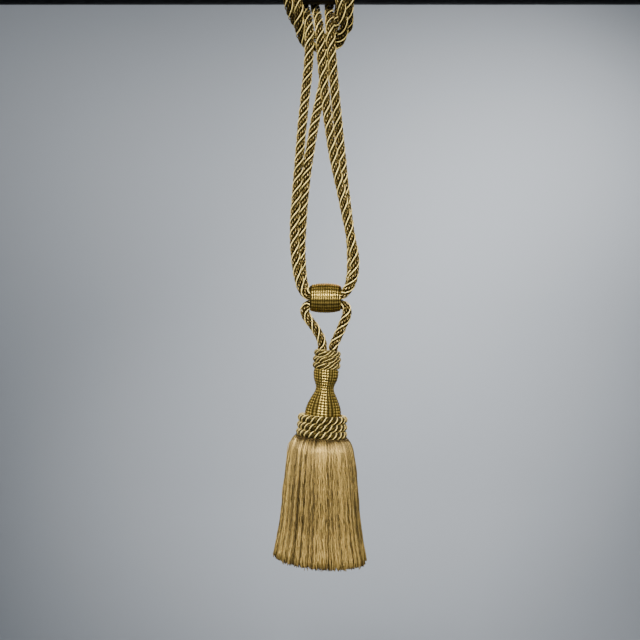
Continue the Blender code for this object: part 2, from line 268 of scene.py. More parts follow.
@dataclass(frozen=True)
class LacquerFinish:
    """Black lacquer sprayed on steel tube: satin, with a faint orange-peel and fine rub marks."""

    name: str
    coat: str
    worn: str
    roughness: float
    peel_mm: float = 1.6
    peel_depth_mm: float = 0.05
    rub_mm: float = 2.5

    def make(self) -> bpy.types.Material:
        """Build the material.

        Returns:
            The lacquer, which reads the rod's own Object coordinates.
        """
        material, tree = empty_material(self.name)
        place = add_node(tree, "ShaderNodeTexCoord")
        # hands and rings rub the rod along its length
        along = add_node(
            tree, "ShaderNodeMapping", {"Vector": place.outputs["Object"], "Scale": (0.06, 1.0, 1.0)}
        )
        rubs = add_node(
            tree,
            "ShaderNodeTexNoise",
            {"Vector": along.outputs["Vector"], "Scale": 1.0 / (self.rub_mm * MM), "Detail": 6.0},
        )
        peel = add_node(
            tree,
            "ShaderNodeTexNoise",
            {"Vector": place.outputs["Object"], "Scale": 1.0 / (self.peel_mm * MM), "Detail": 1.0},
        )
        colour = add_node(
            tree,
            "ShaderNodeMix",
            {"Factor": rubs.outputs["Fac"], "A": linear(self.coat), "B": linear(self.worn)},
            data_type="RGBA",
        )
        gloss = add_node(
            tree,
            "ShaderNodeMapRange",
            {
                "Value": rubs.outputs["Fac"],
                "From Min": 0.35,
                "From Max": 0.7,
                "To Min": self.roughness,
                "To Max": self.roughness + 0.14,
            },
        )
        bump = add_node(
            tree,
            "ShaderNodeBump",
            {
                "Height": peel.outputs["Fac"],
                "Strength": 0.25,
                "Distance": self.peel_depth_mm * MM,
            },
        )
        shader = add_node(
            tree,
            "ShaderNodeBsdfPrincipled",
            {
                "Base Color": colour.outputs["Result"],
                "Roughness": gloss.outputs["Result"],
                "Specular IOR Level": 0.2,
                "Normal": bump.outputs["Normal"],
            },
        )
        add_node(tree, "ShaderNodeOutputMaterial", {"Surface": shader.outputs["BSDF"]})
        return material


# Gimp yarn, viscose wrapped over a core: painted shade in the hollows, and painted glints on the
# crests as short golden ticks
GIMP_YARN = ThreadFinish(
    name="olive_gold_gimp_yarn",
    dark="#0A0702",
    body="#443818",
    bright="#BEA464",
    roughness=0.36,
    metallic=0.4,
    specular=0.6,
    tint="#B0965A",
    wrap_glint=0.22,
    wrap_glint_pitch_mm=3.7,
    wrap_glint_round_mm=60.0,
    glint_streak=0.3,
)
# Tightly twisted viscose satin cord: the palest line of the rope, soft cream with little glare
SATIN_CORD = ThreadFinish(
    name="cream_gold_satin_cord",
    dark="#241B08",
    body="#8A713A",
    bright="#D8C070",
    roughness=0.46,
    metallic=0.2,
    specular=0.35,
    tint="#E2CC8C",
    mottle=0.2,
)
# Plied viscose yarn: the dark olive ground between the pale cords of the knot and the collar
BINDING_YARN = ThreadFinish(
    name="dark_gold_laid_yarn",
    dark="#070501",
    body="#191306",
    bright="#524722",
    roughness=0.36,
    metallic=0.4,
    specular=0.6,
    tint="#A08244",
)
# Filament viscose wound under tension: near-metallic gold, with a clear highlight and brown shade
WOUND_THREAD = ThreadFinish(
    name="bright_gold_wound_thread",
    dark="#150F05",
    body="#534620",
    bright="#D6B65C",
    roughness=0.36,
    metallic=0.85,
    specular=0.5,
    tint="#CDB074",
    mottle=0.2,
)
# Loose cut viscose fringe thread: straw gold, its shine broken into short painted glints along the
# threads
SKIRT_THREAD = ThreadFinish(
    name="straw_gold_skirt_thread",
    dark="#1C140B",
    body="#78653D",
    bright="#E2BE6A",
    roughness=0.38,
    metallic=0.6,
    specular=0.6,
    tint="#ECC46A",
    filament_run_mm=2.2,
    glint_streak=0.62,
    mottle_mm=12.0,
    mottle=0.2,
    wrap_glint=0.06,
    wrap_glint_pitch_mm=7.0,
    wrap_glint_round_mm=2.6,
)
# Lacquered steel tube: near black, with a dull line of light along its top
BLACK_LACQUER = LacquerFinish(
    name="black_satin_lacquer", coat="#020202", worn="#060606", roughness=0.46
)


# ---------------------------------------------------------------- lines and sweeps

# each thread's streaks are moved this far on from the last thread's, so that no two look alike
STREAK_SHIFT_MM = 7.31


@dataclass
class Guide:
    """A cord's centre line, with two directions square to it at each point."""

    points: np.ndarray
    across: np.ndarray
    up: np.ndarray

    @classmethod
    def along(cls, points: np.ndarray) -> Guide:
        """Carry a pair of directions along a line without twisting them.

        Args:
            points: the line, evenly spaced.

        Returns:
            The line with its directions.
        """
        tangents = np.gradient(points, axis=0)
        tangents /= np.linalg.norm(tangents, axis=1)[:, None]
        across = np.empty_like(points)
        start = np.cross(tangents[0], (0.0, 1.0, 0.0))
        across[0] = start / np.linalg.norm(start)
        for i in range(len(points) - 1):
            step = points[i + 1] - points[i]
            mirrored = across[i] - 2.0 * step * (step @ across[i]) / (step @ step)
            turned = tangents[i] - 2.0 * step * (step @ tangents[i]) / (step @ step)
            back = tangents[i + 1] - turned
            if back @ back > 1e-18:
                mirrored = mirrored - 2.0 * back * (back @ mirrored) / (back @ back)
            mirrored -= tangents[i + 1] * (mirrored @ tangents[i + 1])
            across[i + 1] = mirrored / np.linalg.norm(mirrored)
        return cls(points, across, np.cross(tangents, across))

    def beside(self, radius: np.ndarray | float, angle: np.ndarray) -> np.ndarray:
        """Run a line round the guide.

        Args:
            radius: distance from the guide.
            angle: place round it at each point, in radians.

        Returns:
            The line's points.
        """
        shift = self.across * np.cos(angle)[:, None] + self.up * np.sin(angle)[:, None]
        return self.points + shift * (np.ones(len(self.points)) * radius)[:, None]

    def distances(self) -> np.ndarray:
        """Give the distance along the guide at each point."""
        steps = np.linalg.norm(np.diff(self.points, axis=0), axis=1)
        return np.concatenate(([0.0], np.cumsum(steps)))


@dataclass(frozen=True)
class Section:
    """The outline of a thread or cord: a ring of points whose lobes are its own plies."""

    diameter: float
    sides: int
    lobes: int = 1
    lobe_depth: float = 0.0

    def guide_curve(self) -> bpy.types.Object:
        """Make the outline as a flat curve.

        Returns:
            The outline, which is removed once it has been swept.
        """
        curve = bpy.data.curves.new("outline", "CURVE")
        curve.dimensions = "2D"
        spline = curve.splines.new("POLY")
        spline.points.add(self.sides - 1)
        for index, point in enumerate(spline.points):
            angle = -math.tau * index / self.sides
            share = 1.0 - self.lobe_depth * (0.5 - 0.5 * math.cos(self.lobes * angle))
            radius = 0.5 * self.diameter * share
            point.co = (radius * math.cos(angle), radius * math.sin(angle), 0.0, 1.0)
        spline.use_cyclic_u = True
        outline = bpy.data.objects.new("outline", curve)
        bpy.context.scene.collection.objects.link(outline)
        return outline


@dataclass
class Threads:
    """Threads of one piece: their lines, how each is turned and toned, and what they lie round.

    Where a heart is given, the tone is painted by distance from it: painted highlight on the crests
    that stand away from it and painted shade in the hollows near it; the reach says over which
    distances. The ridge says how much brighter the lobes of the section are than the furrows between
    them, a painted shade in the furrows. The turn is the thread's own twist at each step, in radians,
    and the swell is its thickness there, as a share. The length is what the pattern is measured
    along, the thread's own unless it is given, and the starts say where on it each thread's pattern
    begins. A closed thread runs on into its own start.
    """

    lines: list[np.ndarray]
    section: Section
    turn: float = 0.0
    tones: np.ndarray | None = None
    ridge: float = 0.0
    heart: np.ndarray | None = None
    reach: tuple[float, float] = (0.0, 1.0)
    swell: np.ndarray | None = None
    length: float | None = None
    starts: np.ndarray | None = None
    closed: bool = False

    def tone(self, mesh: bpy.types.Mesh) -> np.ndarray:
        """Work out the tone of every vertex.

        Args:
            mesh: the swept threads.

        Returns:
            Tones from 0, dark, to 1, bright.
        """
        count = len(self.lines[0])
        tones = np.full(len(self.lines), 0.5) if self.tones is None else self.tones
        tones = np.broadcast_to(tones.reshape(len(self.lines), -1), (len(self.lines), count))
        tones = np.repeat(tones.ravel(), self.section.sides)
        # the lobes of the section are painted brighter than the furrows: painted shade in the furrows
        sides = np.arange(self.section.sides) / self.section.sides
        lobes = np.cos(math.tau * self.section.lobes * sides)
        tones = tones + 0.5 * self.ridge * np.tile(lobes, len(self.lines) * count)
        # painted highlight on what stands away from the heart, painted shade near it
        if self.heart is not None:
            places = np.empty(len(mesh.vertices) * 3)
            mesh.vertices.foreach_get("co", places)
            hearts = np.tile(np.repeat(self.heart, self.section.sides, axis=0), (len(self.lines), 1))
            away = np.linalg.norm(places.reshape(-1, 3) - hearts, axis=1)
            share = np.clip((away - self.reach[0]) / (self.reach[1] - self.reach[0]), 0.0, 1.0)
            tones = tones + share - 0.5
        return np.clip(tones, 0.0, 1.0)

    def sweep(self, name: str, material: bpy.types.Material) -> bpy.types.Object:
        """Sweep the section along every line and join the result into one piece.

        Args:
            name: the piece's name.
            material: its finish.

        Returns:
            The piece, at the origin, with UVs in millimetres and a tone for each thread.
        """
        outline = self.section.guide_curve()
        curve = bpy.data.curves.new(name, "CURVE")
        curve.dimensions = "3D"
        curve.twist_mode = "MINIMUM"
        curve.bevel_mode = "OBJECT"
        curve.bevel_object = outline
        count = len(self.lines[0])
        for line in self.lines:
            spline = curve.splines.new("POLY")
            spline.points.add(count - 1)
            spline.points.foreach_set("co", np.column_stack((line, np.ones(count))).ravel())
            spline.points.foreach_set("tilt", self.turn * np.arange(count))
            if self.swell is not None:
                spline.points.foreach_set("radius", self.swell)
            spline.use_cyclic_u = self.closed
            spline.use_smooth = True
        holder = bpy.data.objects.new(name, curve)
        bpy.context.scene.collection.objects.link(holder)
        graph = bpy.context.evaluated_depsgraph_get()
        mesh = bpy.data.meshes.new_from_object(holder.evaluated_get(graph))
        mesh.name = name
        bpy.data.objects.remove(holder)
        bpy.data.curves.remove(curve)
        bpy.data.curves.remove(outline.data)

        layer = mesh.attributes.new("tone", "FLOAT", "POINT")
        layer.data.foreach_set("value", self.tone(mesh))
        length = self.length
        if length is None:
            length = float(np.linalg.norm(np.diff(self.lines[0], axis=0), axis=1).sum())
        uv = np.empty(len(mesh.loops) * 2)
        mesh.uv_layers[0].data.foreach_get("uv", uv)
        uv = uv.reshape(len(self.lines), -1, 2)
        uv *= (length / MM, math.pi * self.section.diameter / MM)
        across = STREAK_SHIFT_MM * np.arange(len(self.lines))
        along = across if self.starts is None else self.starts / MM
        uv += np.column_stack((along, across))[:, None, :]
        mesh.uv_layers[0].data.foreach_set("uv", uv.ravel())
        if not self.closed:
            close_ends(mesh)
        return dress(name, mesh, material)


def close_ends(mesh: bpy.types.Mesh) -> None:
    """Close the open ends of swept threads.

    Args:
        mesh: the threads.
    """
    bm = bmesh.new()
    bm.from_mesh(mesh)
    bmesh.ops.holes_fill(bm, edges=[edge for edge in bm.edges if edge.is_boundary], sides=0)
    bm.to_mesh(mesh)
    bm.free()


def dress(
    name: str, mesh: bpy.types.Mesh, material: bpy.types.Material
) -> bpy.types.Object:
    """Show a mesh as a piece of the object.

    Args:
        name: the piece's name.
        mesh: its mesh, already in place.
        material: its finish.

    Returns:
        The piece, riding on the object's one body.
    """
    mesh.materials.clear()
    mesh.materials.append(material)
    piece = bpy.data.objects.new(name, mesh)
    bpy.context.scene.collection.objects.link(piece)
    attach(piece, BODY)
    return piece


def spin_round(bm: bmesh.types.BMesh, profile: list, steps: int) -> None:
    """Spin a profile once round the Z axis and join it to its start.

    Args:
        bm: the mesh that holds it.
        profile: its vertices and edges.
        steps: faces round the turn.
    """
    bmesh.ops.spin(
        bm, geom=profile, axis=(0, 0, 1), cent=(0, 0, 0), angle=math.tau, steps=steps, use_merge=True
    )


def turned(
    name: str,
    profile: list[tuple[float, float]],
    steps: int,
    placing: Matrix,
    material: bpy.types.Material,
    slot: str,
    tone: float = 0.0,
    closed: bool = False,
) -> bpy.types.Object:
    """Turn a profile about Z and put it in place.

    Args:
        name: the piece's name.
        profile: height and radius of each point, from top to bottom.
        steps: faces round the piece.
        placing: where its axis goes.
        material: its finish.
        slot: not used.
        tone: its tone, from 0, dark, to 1, bright.
        closed: whether the profile is a loop, as round an open bore.

    Returns:
        The piece.
    """
    bm = bmesh.new()
    verts = [bm.verts.new((radius, 0.0, height)) for height, radius in profile]
    pairs = list(zip(verts, verts[1:])) + ([(verts[-1], verts[0])] if closed else [])
    edges = [bm.edges.new(pair) for pair in pairs]
    spin_round(bm, verts + edges, steps)
    bmesh.ops.remove_doubles(bm, verts=bm.verts, dist=0.001 * MM)
    bmesh.ops.recalc_face_normals(bm, faces=bm.faces)
    bmesh.ops.transform(bm, matrix=placing, verts=bm.verts)
    mesh = bpy.data.meshes.new(name)
    bm.to_mesh(mesh)
    bm.free()
    mesh.shade_smooth()
    mesh.set_sharp_from_angle(angle=math.radians(50.0))
    mesh.attributes.new("tone", "FLOAT", "POINT").data.foreach_set(
        "value", np.full(len(mesh.vertices), tone)
    )
    mesh.uv_layers.new(name="UVMap")
    return dress(name, mesh, material)


# ---------------------------------------------------------------- rod


@dataclass
class Rod:
    """The plain round rod that the tieback hangs from."""

    diameter: float = 28.0 * MM
    length: float = 700.0 * MM
    edge: float = 0.8 * MM
    sides: int = 96

    def build(self) -> None:
        """Make the rod with slightly eased ends."""
        bm = bmesh.new()
        bmesh.ops.create_cone(
            bm, cap_ends=True, segments=self.sides, radius1=0.5 * self.diameter,
            radius2=0.5 * self.diameter, depth=self.length,
            matrix=Matrix.Rotation(0.5 * math.pi, 4, "Y"),
        )
        rims = [
            edge for edge in bm.edges if any(len(face.verts) > 4 for face in edge.link_faces)
        ]
        bmesh.ops.bevel(
            bm, geom=rims, offset=self.edge, affect="EDGES", segments=3, profile=0.5, material=-1
        )
        mesh = bpy.data.meshes.new("rod_tube")
        bm.to_mesh(mesh)
        bm.free()
        mesh.shade_smooth()
        mesh.set_sharp_from_angle(angle=math.radians(40.0))
        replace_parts(dress("rod_tube", mesh, BLACK_LACQUER.make()), "rod")
        LOG.info("rod: %.0f mm", self.length / MM)


# ---------------------------------------------------------------- rope


# The rope's route: given points of its centre line, x, y and z in mm
SLIDER_CENTRE = (5.4, 0.0, -308.1)
SLIDER_LENGTH = 31.0
LANE_RADIUS = 6.2
LANE_TURN = 120.0
LANE_STATIONS = (0.14, 0.38, 0.62, 0.86)
NECK_LEFT = (
    (2.2, 0.0, -359.3),
    (2.4, 0.0, -355.0),
    (1.1, 0.0, -349.5),
    (-3.1, 0.0, -341.0),
    (-8.1, 0.0, -333.6),
    (-12.4, 0.0, -328.2),
    (-15.0, 0.0, -322.6),
    (-14.1, 0.0, -317.2),
    (-10.2, 0.0, -314.4),
)
RIGHT_LOOP = (
    # from the slider up the front right strand
    (22.8, -5.4, -304.0),
    (27.2, -5.6, -300.0),
    (31.4, -5.6, -292.4),
    (34.0, -5.5, -282.0),
    (34.3, -5.5, -267.0),
    (31.1, -5.4, -250.0),
    (26.5, -5.2, -228.0),
    (20.3, -5.0, -198.0),
    (14.5, -5.0, -172.0),
    (9.5, -5.0, -141.0),
    (5.5, -5.0, -108.0),
    (2.1, -5.0, -76.0),
    (0.4, -5.0, -54.0),
    (-0.3, -3.0, -40.0),
    # behind and over the rod to the left
    (-1.5, 2.6, -30.0),
    (-3.2, 10.4, -20.0),
    (-5.0, 16.9, -9.9),
    (-7.0, 19.5, 2.5),
    (-12.0, 13.7, 14.0),
    (-17.0, 0.0, 19.6),
    (-20.8, -14.0, 13.9),
    (-21.9, -19.6, 0.0),
    # down the front and round behind the hanging strands
    (-21.8, -18.5, -14.0),
    (-20.9, -13.5, -26.0),
    (-20.8, -5.6, -36.0),
    (-19.4, 3.5, -43.5),
    (-14.0, 10.8, -50.0),
    (-3.0, 13.4, -53.0),
    (7.5, 16.2, -53.0),
    (17.0, 15.0, -50.0),
    (22.8, 5.5, -43.5),
    (23.0, -6.0, -36.5),
    (21.4, -14.5, -27.0),
    # up the front and over the rod to the right
    (19.5, -19.0, -13.5),
    (19.0, -19.6, 0.0),
    (17.8, -14.0, 14.0),
    (15.8, 0.0, 19.7),
    (13.2, 14.0, 13.9),
    (11.2, 19.6, 1.5),
    (9.6, 16.9, -9.9),
    # down the rear right strand to the slider
    (9.4, 10.4, -20.0),
    (9.7, 2.6, -30.0),
    (10.1, -3.0, -40.0),
    (11.0, -5.0, -54.0),
    (12.6, -5.0, -76.0),
    (15.1, -2.6, -105.0),
    (18.3, 1.0, -136.0),
    (20.9, 3.4, -160.0),
    (24.1, 4.8, -192.0),
    (27.7, 5.3, -222.0),
    (30.9, 5.4, -250.0),
    (31.7, 5.4, -270.0),
    (31.2, 5.3, -284.0),
    (29.8, 5.3, -293.0),
    (26.9, 5.3, -300.8),
    (22.2, 5.2, -304.2),
)
LEFT_LOOP = (
    # from the slider up the front left strand
    (-9.7, -5.3, -305.4),
    (-14.2, -5.6, -303.8),
    (-17.6, -5.4, -299.4),
    (-20.4, -5.0, -291.2),
    (-23.0, -4.6, -278.0),
    (-25.2, -4.2, -257.0),
    (-25.5, -3.8, -236.0),
    (-23.7, -3.8, -208.0),
    (-21.1, -3.2, -176.0),
    (-18.1, -3.5, -140.0),
    (-14.5, -4.5, -106.0),
    (-11.5, -5.0, -76.0),
    (-10.4, -5.0, -54.0),
    (-10.5, -3.1, -40.0),
    # behind and over the rod to the left
    (-11.7, 2.6, -30.0),
    (-13.5, 10.4, -20.0),
    (-15.6, 16.9, -9.9),
    (-18.6, 19.5, 2.5),
    (-23.4, 13.7, 14.0),
    (-28.2, 0.0, 19.6),
    (-31.6, -14.0, 13.9),
    (-32.4, -19.5, 0.0),
    # close under the rod and round behind the hanging strands
    (-32.0, -14.5, -13.5),
    (-29.8, -7.0, -21.5),
    (-26.6, 2.0, -27.5),
    (-20.6, 11.5, -33.0),
    (-11.0, 18.4, -38.0),
    (2.0, 22.0, -40.5),
    (14.0, 24.5, -39.0),
    (22.0, 22.8, -36.0),
    (27.6, 15.5, -33.0),
    (29.0, 7.0, -30.0),
    (28.6, -2.0, -26.5),
    (28.6, -9.5, -20.5),
    # up the front and over the rod to the right
    (29.6, -16.0, -11.8),
    (29.6, -19.5, 0.0),
    (28.4, -14.0, 13.9),
    (26.6, 0.0, 19.7),
    (24.0, 14.0, 13.9),
    (22.2, 19.5, 1.5),
    (20.2, 18.6, -9.8),
    # down behind the others to the rear left strand and the slider
    (18.1, 16.9, -19.5),
    (15.2, 13.8, -30.0),
    (11.8, 9.8, -40.0),
    (7.8, 5.8, -54.0),
    (6.4, 5.5, -72.0),
    (2.3, 5.3, -96.0),
    (-3.7, 4.2, -124.0),
    (-8.3, 3.2, -150.0),
    (-12.5, 3.0, -176.0),
    (-16.1, 3.4, -208.0),
    (-18.1, 4.0, -236.0),
    (-19.1, 4.6, -260.0),
    (-18.4, 5.0, -278.0),
    (-16.9, 5.3, -291.0),
    (-14.2, 5.1, -300.2),
    (-9.7, 5.0, -305.0),
)
NECK_RIGHT = (
    (21.9, 0.0, -314.5),
    (25.9, 0.0, -317.2),
    (27.1, 0.0, -322.4),
    (25.1, 0.0, -329.6),
    (21.4, 0.0, -338.0),
    (17.5, 0.0, -347.0),
    (14.0, 0.0, -354.5),
    (13.2, 0.0, -360.0),
)


def smooth_curve(route: np.ndarray, samples: int = 24) -> np.ndarray:
    """Run a centripetal Catmull-Rom curve through points.

    Args:
        route: the points.
        samples: points read off between each pair.

    Returns:
        The curve as close points.
    """
    ends = (2.0 * route[0] - route[1], 2.0 * route[-1] - route[-2])
    knots = np.vstack((ends[0], route, ends[1]))
    curve = []
    for p0, p1, p2, p3 in zip(knots, knots[1:], knots[2:], knots[3:]):
        t1 = math.sqrt(np.linalg.norm(p1 - p0))
        t2 = t1 + math.sqrt(np.linalg.norm(p2 - p1))
        t3 = t2 + math.sqrt(np.linalg.norm(p3 - p2))
        t = np.linspace(t1, t2, samples, endpoint=False)[:, None]
        a1 = p0 + (p1 - p0) * t / t1
        a2 = p1 + (p2 - p1) * (t - t1) / (t2 - t1)
        a3 = p2 + (p3 - p2) * (t - t2) / (t3 - t2)
        b1 = a1 + (a2 - a1) * t / t2
        b2 = a2 + (a3 - a2) * (t - t1) / (t3 - t1)
        curve.append(b1 + (b2 - b1) * (t - t1) / (t2 - t1))
    return np.vstack(curve + [route[-1:]])


def even_steps(curve: np.ndarray, step: float) -> np.ndarray:
    """Read points off a curve at even distances, with both ends kept.

    Args:
        curve: close points of the curve.
        step: the distance wanted.

    Returns:
        The evenly spaced points.
    """
    places = np.concatenate(([0.0], np.cumsum(np.linalg.norm(np.diff(curve, axis=0), axis=1))))
    wanted = np.linspace(0.0, places[-1], round(places[-1] / step) + 1)
    return np.column_stack([np.interp(wanted, places, axis) for axis in curve.T])


@dataclass
class Rope:
    """The one rope of the tieback: three strands of gimp yarn with a satin cord in each groove."""

    diameter: float = 10.0 * MM
    pitch: float = 37.2 * MM
    lay: Lay = Lay.RIGHT
    strands: int = 3
    strand_offset: float = 2.6 * MM
    yarns: int = 5
    yarn_offset: float = 1.6 * MM
    yarn: Section = Section(1.2 * MM, 4)
    # a yarn shows this many ticks of painted glint each time it comes round to the face
    ticks: int = 4
    strand_heart: Section = Section(2.8 * MM, 6)
    groove_cord: Section = Section(1.3 * MM, 8)
    groove_offset: float = 4.3 * MM
    groove_cord_twist: float = 0.9
    step: float = 1.25 * MM
    # the yarns' tone and how it spreads, and over which distances from the rope's heart the yarns and
    # cords go from painted shade to painted highlight
    yarn_tone: tuple[float, float] = (0.36, 0.04)
    yarn_reach: tuple[float, float] = (3.3 * MM, 4.9 * MM)
    cord_reach: tuple[float, float] = (3.7 * MM, 4.7 * MM)
    seed: int = 3

    def route(self) -> np.ndarray:
        """Join the stretches of the rope, from the left neck to the right neck.

        Returns:
            The centre line in metres, at even steps.
        """
        points = list(NECK_LEFT) + self.lane(180.0) + list(RIGHT_LOOP)
        points += self.lane(-60.0)[::-1] + list(LEFT_LOOP)
        points += self.lane(60.0) + list(NECK_RIGHT)
        return even_steps(smooth_curve(np.array(points) * MM), self.step)

    def lane(self, start: float) -> list[tuple[float, float, float]]:
        """Give the centre line of one lane through the slider's bore.

        Args:
            start: the lane's place round the bore at its left mouth, in degrees.

        Returns:
            Points from left to right, in mm.
        """
        points = []
        for share in LANE_STATIONS:
            angle = math.radians(start + LANE_TURN * share)
            points.append(
                (
                    SLIDER_CENTRE[0] + SLIDER_LENGTH * (share - 0.5),
                    SLIDER_CENTRE[1] + LANE_RADIUS * math.sin(angle),
                    SLIDER_CENTRE[2] + LANE_RADIUS * math.cos(angle),
                )
            )
        return points

    def build(self, cream_cord: bpy.types.Material) -> bpy.types.Object:
        """Args:
            cream_cord: the groove cords' finish.

        Returns:
            The rope.
        """
        guide = Guide.along(self.route())
        length = float(guide.distances()[-1])
        turn = self.lay.value * math.tau * guide.distances() / self.pitch
        chance = np.random.default_rng(self.seed)
        # the length in which a yarn comes round to the face of its strand again
        round_again = self.pitch / (1.0 + self.strand_offset / self.yarn_offset)
        gimp = replace(GIMP_YARN, wrap_glint_pitch_mm=round_again / MM / self.ticks).make()
        yarns = []
        starts = []
        for strand in range(self.strands):
            spot = turn + math.tau * strand / self.strands
            middle = guide.beside(self.strand_offset, spot) - guide.points
            # the strand is twisted against the rope, so its outer yarns lie along the rope
            twist = -self.strand_offset / self.yarn_offset * turn
            for yarn in range(self.yarns):
                # each strand starts at its own place, so the three don't keep in step
                place = yarn / self.yarns + strand / 7.0
                starts.append(-round_again * (place - strand / self.strands))
                yarns.append(guide.beside(self.yarn_offset, twist + math.tau * place) + middle)
        # the yarns go from painted shade near the rope's heart to painted highlight on their crests
        body = Threads(
            yarns,
            self.yarn,
            tones=chance.normal(*self.yarn_tone, len(yarns)),
            heart=guide.points,
            reach=self.yarn_reach,
            length=length,
            starts=np.array(starts),
        ).sweep("rope_strands", gimp)
        grooves = [
            guide.beside(self.groove_offset, turn + math.tau * (cord + 0.5) / self.strands)
            for cord in range(self.strands)
        ]
        # the groove cords too: painted shade on their inner side, painted highlight on their outer
        # side
        cords = Threads(
            grooves,
            self.groove_cord,
            turn=self.groove_cord_twist,
            heart=guide.points,
            reach=self.cord_reach,
        ).sweep("rope_groove_cords", cream_cord)
        hearts = [
            guide.beside(self.strand_offset, turn + math.tau * strand / self.strands)[::2]
            for strand in range(self.strands)
        ]
        # the hearts fill each strand between its yarns, and their darkest tone is painted shade in
        # the gaps
        dark = np.zeros(self.strands)
        inside = Threads(hearts, self.strand_heart, tones=dark).sweep(
            "rope_strand_hearts", gimp
        )
        for piece in (body, cords, inside):
            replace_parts(piece, "rope")
        LOG.info("rope: %.2f m, %d yarns", length, len(yarns))
        return body


# ---------------------------------------------------------------- wound threads


def radius_at(rows: np.ndarray, places: np.ndarray) -> np.ndarray:
    """Read the radius of a profile of (place, radius) rows at the given places."""
    return np.interp(places, rows[:, 0], rows[:, 1])


@dataclass(frozen=True)
class Winding:
    """One thread wound side by side round a turned core, with lengths in mm.

    The thread is wider than its pitch, so each lap lies partly over the last. The strokes are the
    crimps in a lap, the contrast says how much brighter a crimp is, a painted highlight, and the
    swell how much thicker.
    Uneven is how far the laps waver, and the tuck how deep both ends are hidden.
    """

    rows: tuple[tuple[float, float], ...]
    first: float
    last: float
    thread: Section
    pitch: float
    strokes: float
    steps: int
    seed: int
    tone: float
    contrast: float
    uneven: float = 0.03
    swell: float = 0.04
    tuck: float = 1.2

    def line(self) -> np.ndarray:
        """Wind the thread once from end to end.

        Returns:
            Its centre line about Z, in mm, running down from the first place to the last.
        """
        turns = round((self.last - self.first) / self.pitch)
        share = np.linspace(0.0, 1.0, turns * self.steps + 1)
        angle = math.tau * turns * share
        place = self.first + (self.last - self.first) * share
        # the laps waver a little, at three places in each
        spots = math.tau * np.arange(turns * 3 + 1) / 3.0
        chance = np.random.default_rng(self.seed)
        waver = np.interp(angle, spots, chance.normal(0.0, self.uneven, len(spots)))
        profile = smooth_curve(np.array(self.rows))
        radius = radius_at(profile, place) - 0.5 * self.thread.diameter / MM + waver
        # both ends of the thread are tucked into the core over a quarter of a lap
        out = np.minimum(1.0, np.minimum(share, 1.0 - share) * turns * 4.0)
        radius -= self.tuck * (1.0 - out)
        return np.column_stack((radius * np.cos(angle), radius * np.sin(angle), -place))

    def build(
        self, name: str, placing: Matrix, material: bpy.types.Material, slot: str
    ) -> bpy.types.Object:
        """Sweep the thread along its line.

        Args:
            name: the piece's name.
            placing: where the winding's axis goes, in metres.
            material: its finish.
            slot: not used.

        Returns:
            The winding.
        """
        line = self.line() * MM
        # the thread is crimped: even swellings that line up from lap to lap, each with a painted
        # highlight
        crimp = np.cos(math.tau * self.strokes / self.steps * np.arange(len(line)))
        # the tone is measured from a line one thread's width inside the thread: painted highlight on
        # the crest of each lap, painted shade in the hollows between laps
        inward = line[:, :2] / np.linalg.norm(line[:, :2], axis=1)[:, None] * self.thread.diameter
        heart = np.column_stack((line[:, :2] - inward, line[:, 2]))
        return Threads(
            [placed(line, placing)],
            self.thread,
            tones=self.tone + self.contrast * crimp,
            swell=1.0 - self.swell + self.swell * crimp,
            heart=placed(heart, placing),
            reach=(0.5 * self.thread.diameter, 1.5 * self.thread.diameter),
        ).sweep(name, material)


def placed(points: np.ndarray, placing: Matrix) -> np.ndarray:
    """Put points in place.

    Args:
        points: the points.
        placing: rotation and translation.

    Returns:
        The placed points.
    """
    matrix = np.array(placing)
    return points @ matrix[:3, :3].T + matrix[:3, 3]


@dataclass
class Slider:
    """The thread-wound barrel that keeps the loops together, with its bore along X."""

    rows: tuple[tuple[float, float], ...] = (
        # place along the bore from the middle, radius (mm)
        (-15.5, 12.6),
        (-13.3, 13.5),
        (-7.75, 14.6),
        (0.0, 15.0),
        (7.75, 14.6),
        (13.3, 13.5),
        (15.5, 12.6),
    )
    bore: float = 11.9
    cover: float = 0.35
    inset: float = 0.2
    # the core shows in the gaps between the laps, and its darker tone is painted shade there
    core_gap_shade_tone: float = 0.3
    winding: Winding = Winding(
        rows, first=-14.6, last=14.6, thread=Section(3.3 * MM, 10), pitch=2.33, strokes=23.0,
        steps=138, seed=5, tone=0.16, contrast=0.12,
    )

    def build(self) -> None:
        """Turn the core and wind the thread over it."""
        placing = Matrix.Translation(Vector(SLIDER_CENTRE) * MM) @ Matrix.Rotation(
            -0.5 * math.pi, 4, "Y"
        )
        material = WOUND_THREAD.make()
        half = self.rows[-1][0] - self.inset
        shell = [
            (-min(max(place, -half), half) * MM, (radius - self.cover) * MM)
            for place, radius in self.rows
        ]
        inside = [(-half * MM, self.bore * MM), (half * MM, self.bore * MM)]
        core = turned(
            "slider_core", shell + inside, 64, placing, material, "thread_gold", self.core_gap_shade_tone,
            closed=True,
        )
        winding = self.winding.build("slider_winding", placing, material, "thread_gold")
        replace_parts(core, "slider")
        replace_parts(winding, "slider")
        LOG.info("slider: %d faces", len(winding.data.polygons))


# ---------------------------------------------------------------- tassel


TASSEL = Matrix.Translation((7.7 * MM, 0.0, -359.5 * MM)) @ Matrix.Rotation(
    math.radians(4.2), 4, "Y"
)


